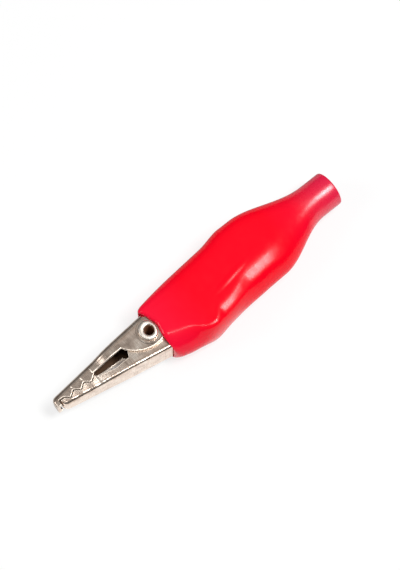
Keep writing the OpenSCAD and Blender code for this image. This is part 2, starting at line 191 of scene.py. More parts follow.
# Faces that meet at a steeper angle than this, in degrees, keep a sharp edge between them
SHARP = 35
# Half the length of a cutter that goes through both sides of the clip
THROUGH = 6


def share(x, a, b):
    return max(0.0, min(1.0, (x - a) / (b - a)))


def ease(x, a, b):
    s = share(x, a, b)
    return s * s * (3 - 2 * s)


def mix(a, b, s):
    return a + (b - a) * s


def spread(a, b, step):
    """Numbers from a to b, b left out, about a step apart."""
    n = max(1, round(abs(b - a) / step))
    return [mix(a, b, i / n) for i in range(n)]


def bend(x, p, q):
    """Curve from (x, y, slope) p to (x, y, slope) q."""
    w = q[0] - p[0]
    s = share(x, p[0], q[0])
    return mix(p[1], q[1], ease(s, 0, 1)) + w * s * (1 - s) * (p[2] * (1 - s) - q[2] * s)


def curve(x, rows, column=1):
    """Smooth curve through a column of rows (station, value, ...), level at its highs and lows."""
    rise = [(q[column] - p[column]) / (q[0] - p[0]) for p, q in zip(rows, rows[1:])]
    inner = [2 * a * b / (a + b) if a * b > 0 else 0.0 for a, b in zip(rise, rise[1:])]
    slopes = [rise[0]] + inner + [rise[-1]]
    i = max([0] + [j for j, row in enumerate(rows[:-1]) if row[0] <= x])
    p, q = rows[i], rows[i + 1]
    return bend(x, (p[0], p[column], slopes[i]), (q[0], q[column], slopes[i + 1]))


def through(x, points):
    """Straight lines through points (x, y) in the order of x."""
    for (x0, y0), (x1, y1) in zip(points, points[1:]):
        if x <= x1:
            return mix(y0, y1, share(x, x0, x1))
    return points[-1][1]


# ---- Outlines of the metal, the same lines as the CAD model's
BACK_SLOPE = (BACK_H - BITE_Y - NOSE_H) / JAW_L
GRIP_SLOPE = (LEVER_H - FLARE_H - GRIP_UP) / (LEVER_L - GRIP_X)
WAIST_SLOPE = (SEAT_DOWN - WAIST_DOWN) / (SEAT_FRONT - WAIST_X)
CHIN_Y = CHIN_H - BITE_Y
THROAT_SLOPE = (THROAT_H - CHIN_Y) / JAW_L
CLAMP_Y = TUBE_R - BORE_Y - COVER
EAR_Y = EAR_R - EAR_DROP
EAR_FRONT = -EAR_FORE - math.sqrt(EAR_R**2 - (EAR_Y - NOTCH_TOP) ** 2)
FLANGE_X = GRIP_X - 2.6
EAR_END = FLANGE_X - 0.3
LOW_FLANGE_X = FLANGE_X - 1.6
CLAMP_ROUND = TAIL_L - 3
TAB_FOOT_X = TAIL_L - 1.5
WALL_FOOT, WALL_HEAD = -NOTCH_BACK - WALL_LEAN, -NOTCH_BACK + WALL_LEAN


def top_line(x):
    if x < 0:
        return BACK_H + BACK_SLOPE * x
    if x < GRIP_X:
        return bend(x, (0, BACK_H, BACK_SLOPE), (GRIP_X, GRIP_UP, GRIP_SLOPE))
    return GRIP_UP + GRIP_SLOPE * (x - GRIP_X) + FLARE_H * ease(x, LEVER_L - FLARE_L, LEVER_L)


def low_line(x):
    if x < 0:
        return THROAT_H + THROAT_SLOPE * x
    if x < GRIP_X:
        return bend(x, (0, THROAT_H, THROAT_SLOPE), (GRIP_X, GRIP_DOWN, 0))
    if x < WAIST_X:
        return bend(x, (GRIP_X, GRIP_DOWN, 0), (WAIST_X, WAIST_DOWN, WAIST_SLOPE))
    if x < SEAT_END:
        return mix(WAIST_DOWN, SEAT_DOWN, share(x, WAIST_X, SEAT_FRONT))
    return mix(SEAT_DOWN, CLAMP_Y, ease(x, SEAT_END, NECK_X))


def jaw_width(x):
    return mix(TIP_W / 2, CHEEK_HALF, share(x, -JAW_L, -EAR_R))


def ear_width(x):
    return jaw_width(x) + (EAR_GAP + SHEET) * ease(x, STEP_FRONT, STEP_BACK)


def cheek_width(x):
    return mix(jaw_width(x), CLAMP_HALF, ease(x, CLAMP_FRONT, CLAMP_ROUND))


def top_fold(x):
    return mix(FOLD_R, UPPER_FOLD_R, ease(x, 0, GRIP_X))


def low_fold(x):
    if x < CLAMP_FRONT:
        return mix(JAW_FOLD_R, LOWER_FOLD_R, ease(x, 0, GRIP_X))
    return mix(LOWER_FOLD_R, CLAMP_HALF - 2 * WEB_LEFT, ease(x, CLAMP_FRONT, CLAMP_ROUND))


def tooth_line(x, side):
    s = (x + JAW_L - TOOTH_START) / TOOTH_L
    wave = math.asin(TOOTH_ROUND * math.cos(2 * math.pi * s)) / math.asin(TOOTH_ROUND)
    return BITE_Y - BITE_FALL * (x + JAW_L) + side * BITE_GAP / 2 + TOOTH_H / 2 * wave


def upper_edge(x):
    """Height of the upper jaw's cut edge: nose, slot, teeth, notch, ear and the lever's flange."""
    d = x + JAW_L
    if d < TOOTH_START:
        return through(d, [
            (NOSE_L, BITE_Y - NOSE_DOWN), (NOSE_L + UPRIGHT, BITE_Y + SLOT_UP),
            (NOSE_L + NOSE_GAP, BITE_Y + SLOT_UP),
            (TOOTH_START, tooth_line(TOOTH_START - JAW_L, 1)),
        ])
    if d < TOOTH_END:
        return tooth_line(x, 1)
    if x < EAR_FRONT:
        root = tooth_line(TOOTH_END - JAW_L, 1)
        return through(d, [
            (TOOTH_END, root), (TOOTH_END + UPPER_RAMP, NOTCH_TOP), (JAW_L, NOTCH_TOP),
        ])
    if x < EAR_END:
        arc = EAR_Y - math.sqrt(max(EAR_R**2 - (x + EAR_FORE) ** 2, 0.01))
        return min(arc, top_line(x) - UPPER_FLANGE)
    return top_line(x) - UPPER_FLANGE


def lower_edge(x):
    """Height of the lower jaw's cut edge: chin, teeth, notch, hinge lobe, flange and clamp tabs."""
    d = x + JAW_L
    if d < TOOTH_START:
        return tooth_line(TOOTH_START - JAW_L, -1)
    if d < TOOTH_END:
        return tooth_line(x, -1)
    if x < WALL_FOOT:
        crest = tooth_line(TOOTH_END - JAW_L, -1)
        return through(x, [
            (TOOTH_END - JAW_L, crest), (TOOTH_END - JAW_L + LOWER_RAMP, -NOTCH_FRONT),
            (-NOTCH_BACK - NOTCH_MID, -NOTCH_LOW), (WALL_FOOT, -NOTCH_LOW),
        ])
    if x < LOW_FLANGE_X:
        line = through(x, [
            (WALL_FOOT, -NOTCH_LOW), (WALL_HEAD, 0), (0, LOBE_R - LOBE_FOOT),
            (LOW_FLANGE_X, LOWER_FLANGE - low_line(LOW_FLANGE_X)),
        ])
        return max(line, math.sqrt(LOBE_R**2 - x * x)) if abs(x) < LOBE_R else line
    if TAB_FRONT <= x <= TAB_BACK:
        top = SHEET - low_line(TAB_FOOT_X) + TAB_H
        out = max(TAB_FRONT + TAB_R - x, x - TAB_BACK + TAB_R, 0)
        return top - TAB_R + math.sqrt(max(TAB_R**2 - out * out, 0))
    return LOWER_FLANGE - low_line(x)


def rounded(d, r):
    """How far a surface has dropped a distance d behind an end that is rounded to radius r."""
    return r - math.sqrt(r * r - (r - d) ** 2) if d < r else 0.0


# ---- Meshes
def skin(rings, closed=False):
    """Quads between rings of as many points each."""
    n, m = len(rings[0]), len(rings)
    faces = []
    for i in range(m if closed else m - 1):
        a, b = i * n, (i + 1) % m * n
        faces += [(a + j, a + (j + 1) % n, b + (j + 1) % n, b + j) for j in range(n)]
    return [p for ring in rings for p in ring], faces


def lathe(profile, n, place, closed=True):
    """A profile of (radius, height) turned round an axis, put into the clip's frame by place."""
    angles = [2 * math.pi * j / n for j in range(n)]
    rings = [[place(r * math.cos(a), r * math.sin(a), h) for a in angles] for r, h in profile]
    return skin(rings, closed)


def new_mesh(name, parts):
    """One mesh of closed parts, each (points, faces) or (points, faces, each point's value for wear
    and painted light: above 0 a satin edge with a painted highlight, below 0 painted shade).
    """
    whole = bmesh.new()
    whole.verts.layers.float.new("wear_and_painted_light")
    for part in parts:
        wear_and_painted_light = part[2] if len(part) > 2 else [0.0] * len(part[0])
        bm = bmesh.new()
        own = bm.verts.layers.float.new("wear_and_painted_light")
        verts = []
        for p, w in zip(part[0], wear_and_painted_light):
            v = bm.verts.new(ROW_ORIGIN + Vector(p) * MM)
            v[own] = w
            verts.append(v)
        for face in part[1]:
            bm.faces.new([verts[i] for i in face])
        bmesh.ops.remove_doubles(bm, verts=bm.verts, dist=1e-7)
        bmesh.ops.recalc_face_normals(bm, faces=bm.faces)
        part_mesh = bpy.data.meshes.new("part")
        bm.to_mesh(part_mesh)
        bm.free()
        whole.from_mesh(part_mesh)
        bpy.data.meshes.remove(part_mesh)
    mesh = bpy.data.meshes.new(name)
    whole.to_mesh(mesh)
    whole.free()
    smooth(mesh)
    return place_object(name, mesh)


def place_object(name, data):
    obj = bpy.data.objects.new(name, data)
    bpy.context.scene.collection.objects.link(obj)
    return obj


def smooth(mesh):
    mesh.polygons.foreach_set("use_smooth", [True] * len(mesh.polygons))
    mesh.set_sharp_from_angle(angle=math.radians(SHARP))
    mesh.update()


def settle(obj):
    """Turns an object with modifiers into its plain mesh."""
    bpy.context.view_layer.update()
    graph = bpy.context.evaluated_depsgraph_get()
    mesh = bpy.data.meshes.new_from_object(obj.evaluated_get(graph), depsgraph=graph)
    obj.modifiers.clear()
    old, obj.data = obj.data, mesh
    mesh.name = old.name
    bpy.data.meshes.remove(old)
    smooth(mesh)
    return obj


def cut(obj, parts):
    """Cuts closed parts out of an object."""
    for part in parts:
        tool = new_mesh("cutter", [part])
        mod = obj.modifiers.new("cut", "BOOLEAN")
        mod.operation = "DIFFERENCE"
        mod.solver = "EXACT"
        mod.object = tool
        settle(obj)
        bpy.data.objects.remove(tool)


def along_z(z0=0.0, side=1):
    return lambda a, b, h: (a, b, side * (z0 + h))


def along_y(x0, y0):
    return lambda a, b, h: (x0 + a, y0 + h, b)


def rod(radius, low, high, place):
    return lathe([(0, low), (radius, low), (radius, high), (0, high)], 64, place, closed=False)


# ---- Folded sheet
def cheek_rows(height):
    """Shares of a cheek's height at which its points lie, one close to each end to keep it flat."""
    near = min(CHEEK_EDGE / max(height, APART), 0.3)
    return [mix(near, 1 - near, i / (CHEEK_N - 2)) for i in range(CHEEK_N - 1)] + [1.0]


def half_section(web, half, fold, edge, inward):
    """Points (y, z) from the middle of the web to the cut edge, of the outer or the inner face."""
    arc_low = web - fold
    cut_start = edge + CUT_R
    no_cheek = arc_low < cut_start
    end = math.pi / 2
    if no_cheek:
        end = math.acos(max(-1.0, min(1.0, (cut_start - arc_low) / fold)))
    points = [(web, (half - fold) * i / WEB_N) for i in range(WEB_N)]
    n_arc = FOLD_N + (CHEEK_N if no_cheek else 0)
    for i in range(n_arc + 1):
        a = end * i / n_arc
        points.append((arc_low + fold * math.cos(a), half - fold + fold * math.sin(a)))
    if not no_cheek:
        points += [(mix(arc_low, cut_start, s), half) for s in cheek_rows(arc_low - cut_start)]
    z = points[-1][1]
    for i in range(1, CUT_N + 1):
        a = math.pi / 2 * i / CUT_N
        points.append((cut_start - CUT_R * math.sin(a), z - inward * CUT_R * (1 - math.cos(a))))
    return points


def sheet_section(x, web, half, fold, edge, hollow, trim, turn, lean):
    """Closed section of the folded sheet at x, with each point's value for wear and painted light:
    1 on the cut edge, which is satin and painted lighter as a painted highlight; -1 on the faces
    turned inwards, which are painted shade; and a painted dark reflection on the cheek beside the
    fold. It is hollow behind the plate of the tip, trimmed towards the tail end, and its cheeks
    lean in towards the web."""
    fold = min(fold, half - WEB_LEFT)
    room = web - edge - CUT_R - CHEEK_LEFT
    outer_fold = fold if hollow else min(fold, max(room, FOLD_LEFT))
    outer = half_section(web - trim, half - trim, outer_fold, edge, 1)
    inner = half_section(
        web - SHEET + trim, half - SHEET + trim, max(fold - SHEET, INNER_LEFT), edge, -1
    )
    if not hollow:
        reach = outer[-1][1] - APART
        inner = [(edge, reach * i / (len(inner) - 1)) for i in range(len(inner))]
    mirrored = lambda points: [(y, -z) for y, z in points]
    ring = mirrored(outer[:0:-1]) + outer + inner[::-1] + mirrored(inner[1:])
    # Cut-edge points get 1: satin and painted lighter, a painted highlight
    rim = [0.0] * (len(outer) - CUT_N - 1) + [1.0] * (CUT_N + 1)
    # A painted dark reflection on the cheek, just beside the fold
    rim[WEB_N + FOLD_N + 1] = PAINTED_FOLD_LINE
    # Faces turned inwards get -1: not metallic and painted dark, painted shade inside the channel
    under = [-1.0 if hollow else 0.0] * (len(outer) - CUT_N - 1) + [1.0] * (CUT_N + 1)
    wear_and_painted_light = rim[:0:-1] + rim + under[::-1] + under[1:]
    return [(x, turn * y, z * (1 - lean * (y - edge) / half)) for y, z in ring], wear_and_painted_light


def folded_sheet(stations, web, half, fold, edge, turn, tip_x, end_x, lean=lambda x: 0.0):
    """A channel that is folded from sheet, closed at the tip and open at its tail end."""
    rings, wear_and_painted_light = [], []
    for x in stations:
        d = x - tip_x
        w = web(x) - rounded(d, FOLD_R)
        h = half(x) - rounded(d, TIP_SIDE_R)
        e = min(edge(x) + rounded(d, TIP_EDGE_R), w - DEPTH_LEFT)
        trim = END_R * (1 - share(end_x - x, 0, END_R)) ** 2
        ring, ring_wear_and_light = sheet_section(x, w, h, fold(x), e, d >= SHEET, trim, turn, lean(x))
        rings.append(ring)
        wear_and_painted_light += ring_wear_and_light
    points, faces = skin(rings)
    n = len(rings[0])
    m = n // 2
    last = (len(rings) - 1) * n
    faces.append(tuple(range(n)))
    faces += [(last + i, last + i + 1, last + n - 2 - i, last + n - 1 - i) for i in range(m - 1)]
    return points, faces, wear_and_painted_light


def tip_stations(tip_x):
    """Stations of the rounded tip and just behind its plate, which is a sheet thick."""
    nose = [tip_x + FOLD_R * (1 - math.cos(math.radians(a))) for a in range(0, 55, 9)]
    plate = tip_x + SHEET
    return [x for x in nose if x < plate - 0.03] + [plate - 0.02, plate, plate + 0.1]


def end_stations(x):
    return [x - END_R * i / 3 for i in (3, 2, 1, 0)]


tooth_stations = spread(TOOTH_START - JAW_L, TOOTH_END - JAW_L, FINE)
upper_stations = (
    tip_stations(-JAW_L) + [NOSE_L - JAW_L - UPRIGHT, NOSE_L - JAW_L + UPRIGHT]
    + spread(NOSE_L + NOSE_GAP - JAW_L, TOOTH_START - JAW_L, FINE) + tooth_stations
    + spread(-JAW_L + TOOTH_END, EAR_FRONT, 0.1) + spread(EAR_FRONT, FLANGE_X, 0.12)
    + spread(FLANGE_X, LEVER_L - 0.2, 0.4) + end_stations(LEVER_L)
)
lower_stations = (
    [x for x in tip_stations(-CHIN_L) if x < TOOTH_START - JAW_L] + tooth_stations
    + spread(-JAW_L + TOOTH_END, WALL_FOOT, 0.12) + spread(WALL_FOOT, WALL_HEAD, FINE)
    + spread(WALL_HEAD + UPRIGHT, LOBE_R, 0.12) + spread(LOBE_R, GRIP_X, 0.25)
    + spread(GRIP_X, CLAMP_FRONT, 0.4) + spread(CLAMP_FRONT, TAB_FRONT - UPRIGHT, 0.25)
    + [TAB_FRONT - UPRIGHT] + spread(TAB_FRONT, TAB_FRONT + TAB_R, FINE)
    + spread(TAB_FRONT + TAB_R, TAB_BACK - TAB_R, 0.3)
    + spread(TAB_BACK - TAB_R, TAB_BACK, FINE) + [TAB_BACK]
    + spread(TAB_BACK + UPRIGHT, TAIL_L - 0.2, 0.1) + end_stations(TAIL_L)
)


# ---- Materials
def linear(code):
    """A #rrggbb colour as Blender's linear one."""
    levels = [int(code[i:i + 2], 16) / 255 for i in (1, 3, 5)]
    light = [c / 12.92 if c <= 0.04045 else ((c + 0.055) / 1.055) ** 2.4 for c in levels]
    return (*light, 1.0)


def add(tree, kind, links=None, values=None, **settings):
    """Adds a node: settings are its properties, and values and links go to its sockets by name
    or number."""
    node = tree.nodes.new(kind)
    for key, value in settings.items():
        setattr(node, key, value)
    for key, value in (values or {}).items():
        node.inputs[key].default_value = value
    for key, source in (links or {}).items():
        tree.links.new(source, node.inputs[key])
    return node


def ramp(tree, source, stops):
    """A colour ramp with stops (position, #rrggbb)."""
    node = add(tree, "ShaderNodeValToRGB", {"Fac": source})
    spots = node.color_ramp.elements
    while len(spots) < len(stops):
        spots.new(0.5)
    for spot, (position, code) in zip(spots, stops):
        spot.position = position
        spot.color = linear(code)
    return node.outputs["Color"]


def remap(tree, source, low, high, to_low, to_high, **settings):
    """A value from low to high becomes one from to_low to to_high, and is held beyond them."""
    ends = {"From Min": low, "From Max": high, "To Min": to_low, "To Max": to_high}
    return add(tree, "ShaderNodeMapRange", {"Value": source}, ends, **settings).outputs["Result"]


def reckon(tree, operation, *terms):
    """Arithmetic with outputs of other nodes and plain numbers."""
    links = {i: term for i, term in enumerate(terms) if not isinstance(term, float)}
    values = {i: term for i, term in enumerate(terms) if isinstance(term, float)}
    return add(tree, "ShaderNodeMath", links, values, operation=operation).outputs[0]


def noise(tree, vector, scale, detail, roughness):
    values = {"Scale": scale, "Detail": detail, "Roughness": roughness}
    return add(tree, "ShaderNodeTexNoise", {"Vector": vector}, values).outputs["Fac"]


def oval(tree, vector, middle, size_mm):
    """How far a point is from the middle of an oval on the table: 1 on its rim, half as long and
    half as wide as size_mm."""
    far = [MM * s for s in size_mm]
    scaled = add(tree, "ShaderNodeMapping", {"Vector": vector}, {
        "Location": (-middle[0] / far[0], -middle[1] / far[1], 0.0),
        "Scale": (1 / far[0], 1 / far[1], 0.0),
    })
    return add(tree, "ShaderNodeVectorMath", {0: scaled.outputs[0]},
               operation="LENGTH").outputs["Value"]


def new_material(name):
    """A material with its tree, its shader and the piece's own coordinates."""
    material = bpy.data.materials.new(name)
    material.use_nodes = True
    tree = material.node_tree
    shader = tree.nodes["Principled BSDF"]
    coords = add(tree, "ShaderNodeTexCoord").outputs["Object"]
    return material, tree, shader, coords


def plated_steel(name, dark, mid, light, inner_shade, rough, line_mm):
    """Metal with fine lines from rolling or turning: its colours, the range of its roughness, and
    the size of a line along X, Y and Z. Cut edges (1) are satin and painted lighter, a painted
    highlight; faces turned inwards (-1) are not metallic and take a dark colour, painted shade."""
    material, tree, shader, coords = new_material(name)
    stretch = add(tree, "ShaderNodeMapping", {"Vector": coords},
                  {"Scale": [1 / (MM * s) for s in line_mm]})
    lines = noise(tree, stretch.outputs[0], 1.0, 3.0, 0.6)
    clouds = noise(tree, coords, 1 / (1.6 * MM), 2.0, 0.55)
    both = add(tree, "ShaderNodeMix", {"A": lines, "B": clouds}, {"Factor": 0.6},
               data_type="FLOAT").outputs["Result"]
    tone = ramp(tree, both, [(0.35, dark), (0.5, mid), (0.65, light)])
    wear_and_painted_light = add(tree, "ShaderNodeAttribute", attribute_name="wear_and_painted_light").outputs["Fac"]
    # Faces turned inwards are painted dark: painted shade
    inward = remap(tree, wear_and_painted_light, 0.0, -1.0, 0.0, 1.0)
    plated = remap(tree, wear_and_painted_light, -1.0, -0.5, 0.0, 1.0)
    # Cut edges are painted in the light colour: a painted highlight
    tone_with_edge_highlight = add(tree, "ShaderNodeMix", {"Factor": wear_and_painted_light, "A": tone}, {"B": linear(light)},
                 data_type="RGBA")
    shaded = add(tree, "ShaderNodeMix", {"Factor": inward, "A": tone_with_edge_highlight.outputs["Result"]},
                 {"B": linear(inner_shade)}, data_type="RGBA")
    satin = add(tree, "ShaderNodeMix", {
        "Factor": reckon(tree, "ABSOLUTE", wear_and_painted_light), "A": remap(tree, both, 0.3, 0.7, *rough),
    }, {"B": 0.5}, data_type="FLOAT")
    bump = add(tree, "ShaderNodeBump", {"Height": lines}, {"Strength": 0.3, "Distance": 0.006 * MM})
    for socket, source in (
        ("Base Color", shaded.outputs["Result"]), ("Metallic", plated),
        ("Specular IOR Level", reckon(tree, "MULTIPLY", plated, 0.5)),
        ("Roughness", satin.outputs["Result"]), ("Normal", bump.outputs["Normal"]),
    ):
        tree.links.new(source, shader.inputs[socket])
    return material


# Nickel-plated pressed steel: a warm pale satin sheet with rolling lines across the clip, 0.12 mm
# apart (the real ones are finer than the render shows), and cut edges that tumbling has left satin,
# painted lighter as a painted highlight
jaw_steel = plated_steel(
    "nickel_plated_pressed_steel", "#cfb9a8", "#efdac9", "#fbeee0", "#5c4636",
    rough=(0.2, 0.3), line_mm=(0.12, 2.4, 2.4),
)
# Nickel-plated rolled rivet tube: satin and light on its lips; inside its bore, where plating is
# thin, not metallic and painted dark as painted shade
rivet_steel = plated_steel(
    "nickel_plated_rolled_rivet", "#dfd2c6", "#eadfd4", "#f2e8df", "#96694f",
    rough=(0.4, 0.5), line_mm=(0.5, 0.5, 0.2),
)
# Drawn spring steel wire: darker, with drawing lines
spring_steel = plated_steel(
    "drawn_spring_steel", "#6f6a65", "#8f8a84", "#b8b2aa", "#4a4642",
    rough=(0.25, 0.38), line_mm=(0.25, 0.25, 1.5),
)
# Nickel-plated turned screw: bright, with turning lines round its axis
screw_steel = plated_steel(
    "nickel_plated_turned_screw", "#bfb5aa", "#d8cec4", "#f4ebe2", "#8a8178",
    rough=(0.16, 0.3), line_mm=(1.2, 0.08, 1.2),
)


# Middle, half length and half width, turn and height of the rib that the lever's edge makes in
# the boot's flat
RIB_MID = (15.0, -1.4, 0.0)
RIB_SIZE = (5.0, 0.75)
RIB_TURN = math.radians(-10.5)
RIB_H = 0.09
# The boot's front and tail in the row frame, and the shares of the length between them over which
# the coat turns from soft to glossy
PVC_FROM, PVC_TO = -8.0, 27.5
NECK_FROM, NECK_TO = 0.81, 0.88


def moulded_pvc(name):
    """Dip-moulded soft PVC: a clear red with a pinker tone at the mouth, painted there as a painted
    reflection of a faint sheen, and pinker towards the tail tube; with the faint orange peel and
    wet gloss of a dipped coat."""
    material, tree, shader, coords = new_material(name)
    place = add(tree, "ShaderNodeSeparateXYZ", {"Vector": coords})
    # The tones change along the boot at places that wander by up to 2 mm
    shift = reckon(tree, "MULTIPLY", noise(tree, coords, 1 / (5.0 * MM), 2.0, 0.5), 2.0 * MM)
    along = reckon(tree, "ADD", place.outputs["X"], shift)
    where = remap(tree, along, PVC_FROM * MM, PVC_TO * MM, 0.0, 1.0)
    # Pinker at the mouth, a painted reflection, and pinker towards the tail tube
    tone = ramp(tree, where, [
        (0.0, "#fa1238"), (0.22, "#ff0020"), (0.68, "#ff0020"), (0.84, "#f8082e"), (1.0, "#ea1846"),
    ])
    peel = noise(tree, coords, 1 / (0.9 * MM), 2.0, 0.5)
    gloss = remap(tree, peel, 0.3, 0.7, 0.17, 0.24)
    wet = remap(tree, where, NECK_FROM, NECK_TO, 1.0, 1.4)
    bump = add(tree, "ShaderNodeBump", {"Height": peel}, {"Strength": 0.25, "Distance": 0.01 * MM})
    # The edge of the lever shows through the flat as a low rib
    turned = add(tree, "ShaderNodeVectorRotate", {"Vector": coords},
                 {"Center": tuple(ROW_ORIGIN + Vector(RIB_MID) * MM), "Angle": RIB_TURN},
                 rotation_type="Z_AXIS")
    off = oval(tree, turned.outputs[0], ROW_ORIGIN + Vector(RIB_MID) * MM, RIB_SIZE)
    rib = remap(tree, off, 0.0, 1.0, 1.0, 0.0, interpolation_type="SMOOTHSTEP")
    raised = add(tree, "ShaderNodeBump", {"Height": rib, "Normal": bump.outputs["Normal"]},
                 {"Strength": 1.0, "Distance": RIB_H * MM})
    for socket, source in (
        ("Base Color", tone), ("Roughness", reckon(tree, "MULTIPLY", gloss, wet)),
        ("Specular IOR Level", remap(tree, where, NECK_FROM, NECK_TO, 0.2, 0.75)),
        ("Normal", raised.outputs["Normal"]),
    ):
        tree.links.new(source, shader.inputs[socket])
    shader.inputs["IOR"].default_value = 1.53
    return material


boot_pvc = moulded_pvc("dip_moulded_soft_pvc")


# ---- Geometry Nodes: a round bar along a path
def bar_tree():
    tree = bpy.data.node_groups.new("bar_along_path", "GeometryNodeTree")
    for name, way, kind in (
        ("Path", "INPUT", "Geometry"), ("Radius", "INPUT", "Float"), ("Sides", "INPUT", "Int"),
        ("Material", "INPUT", "Material"), ("Bar", "OUTPUT", "Geometry"),
    ):
        tree.interface.new_socket(name=name, in_out=way, socket_type="NodeSocket" + kind)
    given = add(tree, "NodeGroupInput")
    line = add(tree, "GeometryNodeMeshToCurve", {"Mesh": given.outputs["Path"]})
    rim = add(tree, "GeometryNodeCurvePrimitiveCircle",
              {"Resolution": given.outputs["Sides"], "Radius": given.outputs["Radius"]})
    bar = add(tree, "GeometryNodeCurveToMesh", {
        "Curve": line.outputs["Curve"], "Profile Curve": rim.outputs["Curve"],
    }, {"Fill Caps": True})
    real = add(tree, "GeometryNodeRealizeInstances", {"Geometry": bar.outputs["Mesh"]})
    painted = add(tree, "GeometryNodeSetMaterial",
                  {"Geometry": real.outputs["Geometry"], "Material": given.outputs["Material"]})
    add(tree, "NodeGroupOutput", {"Bar": painted.outputs["Geometry"]})
    return tree


def grow(name, tree, points, inputs):
    """A piece that a node tree grows along a path of points."""
    mesh = bpy.data.meshes.new(name)
    mesh.from_pydata([ROW_ORIGIN + Vector(p) * MM for p in points],
                     [(i, i + 1) for i in range(len(points) - 1)], [])
    obj = place_object(name, mesh)
    mod = obj.modifiers.new("grow", "NODES")
    mod.node_group = tree
    for item in tree.interface.items_tree:
        if item.item_type == "SOCKET" and item.in_out == "INPUT" and item.name in inputs:
            mod[item.identifier] = inputs[item.name]
    return settle(obj)


def finish_piece(obj, material, node):
    """Gives a piece its one material and hides the CAD node that it stands for."""
    obj.data.materials.clear()
    obj.data.materials.append(material)
    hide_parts(node)


# ---- Jaws
# A low boss that is pressed round the rivet on each ear: its section from the hole to its edge
BOSS_R = 2.0
BOSS_FOOT_R = BOSS_R + 0.08
BOSS_SUNK = -0.3
HOLE_PLAY = 0.05
BOSS_HOLE_R = RIVET_R + HOLE_PLAY + APART
BOSS = [
    (BOSS_HOLE_R, BOSS_SUNK), (BOSS_FOOT_R, BOSS_SUNK), (BOSS_FOOT_R, -APART), (BOSS_R, BOSS_H),
    (BOSS_HOLE_R, BOSS_H),
]
upper = new_mesh("upper_jaw_sheet", [
    folded_sheet(upper_stations, top_line, ear_width, top_fold, upper_edge, 1, -JAW_L, LEVER_L)
])
cut(upper, [rod(RIVET_R + HOLE_PLAY, -THROUGH, THROUGH, along_z())])
# Short ribs that are pressed into the cheeks between the gullets of the teeth and the fold: half
# width, height, and how far they stay from the gullet and reach into the fold
PRESS_HALF_W, PRESS_H, PRESS_FROM, PRESS_OVER = 0.15, 0.1, 0.3, 0.15


def tooth_rib(i, side):
    """An egg-shaped rib above gullet i, half sunk in the cheek, satin and painted lighter as a
    painted highlight.
    """
    x = TOOTH_START - JAW_L + i * TOOTH_L
    low = tooth_line(x, 1) + PRESS_FROM
    high = top_line(x) - top_fold(x) + PRESS_OVER
    y, reach, z = (low + high) / 2, (high - low) / 2, ear_width(x)
    place = lambda a, b, h: (x + a * PRESS_HALF_W, y + h * reach, side * (z + b * PRESS_H))
    arc = [math.pi * k / 10 for k in range(11)]
    points, faces = lathe([(math.sin(a), math.cos(a)) for a in arc], 16, place, closed=False)
    return points, faces, [1.0] * len(points)


bosses = new_mesh("bosses", [lathe(BOSS, 96, along_z(EAR_HALF, side)) for side in (1, -1)]
                  + [tooth_rib(i, side) for i in range(1, TOOTH_N + 1) for side in (1, -1)])
# The lower jaw's cheeks lean in from its tip up to the first of these, and stand up from the second
LEAN_TO, LEAN_END = -11.0, -4.0
lower = new_mesh("lower_jaw_sheet", [
    folded_sheet(
        lower_stations, low_line, cheek_width, low_fold, lambda x: -lower_edge(x), -1, -CHIN_L,
        TAIL_L, lambda x: CHEEK_LEAN * (1 - ease(x, LEAN_TO, LEAN_END)),
    )
])
screw_hole = rod(TAP_R, -SEAT_DOWN - 1, -SEAT_DOWN + 1, along_y(SCREW_X, 0))
cut(lower, [rod(RIVET_R, -THROUGH, THROUGH, along_z()), screw_hole])
# The collar that is drawn up round the tapped hole, with a fillet at its foot
COLLAR = [
    (TAP_R, -0.1), (COLLAR_R + 0.35, -0.1), (COLLAR_R + 0.3, 0.01), (COLLAR_R + 0.12, 0.06),
    (COLLAR_R + 0.03, 0.16), (COLLAR_R, 0.3), (COLLAR_R, COLLAR_H - 0.08),
    (COLLAR_R - 0.03, COLLAR_H - 0.02), (COLLAR_R - 0.08, COLLAR_H), (TAP_R + 0.1, COLLAR_H),
    (TAP_R, COLLAR_H - 0.08),
]
collar = new_mesh("collar", [lathe(COLLAR, 64, along_y(SCREW_X, SHEET - SEAT_DOWN))])


def join(obj, other):
    """Adds another object's mesh to an object's own."""
    bm = bmesh.new()
    bm.from_mesh(obj.data)
    bm.from_mesh(other.data)
    bm.to_mesh(obj.data)
    bm.free()
    bpy.data.objects.remove(other)
    smooth(obj.data)


join(upper, bosses)
join(lower, collar)
finish_piece(upper, jaw_steel, "upper_jaw")
finish_piece(lower, jaw_steel, "lower_jaw")
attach(upper, "upper_jaw")
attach(lower, "lower_jaw")

# ---- Rivet: a tube with a lip that is rolled outwards at both ends, flattened towards the boot
LIP_FLAT = 0.24
LIP_UP = 0.1
LIP_ROLL = (LIP_R - HOLE_R) / 2
LIP_MID = LIP_R - LIP_ROLL
LIP_FOOT = RIVET_HALF - 0.03
LIP_NEAR = 0.1
# How low the roll is for its width, and how round it is across and up (1 is a half circle)
LIP_LOW = 0.88
LIP_ROUND = (0.75, 0.8)


def lip(side):
    """Profile of a rolled lip that the press has flattened a little."""
    return [
        (LIP_MID - LIP_ROLL * math.copysign(abs(math.cos(a)) ** LIP_ROUND[0], math.cos(a)),
         side * (RIVET_HALF + LIP_LOW * LIP_ROLL * math.sin(a) ** LIP_ROUND[1]))
        for a in (math.pi * i / 16 for i in range(17))
    ]


def rivet_place(a, b, h):
    """The rivet's point in the clip's frame: its lips are pushed in on the boot's side and a
    little towards the upper jaw."""
    out = 0
    if abs(h) > RIVET_HALF - LIP_NEAR:
        out = ease(math.hypot(a, b), HOLE_R, RIVET_R + LIP_NEAR)
    return (a * (1 - LIP_FLAT * out) if a > 0 else a, b + LIP_UP * out, h)


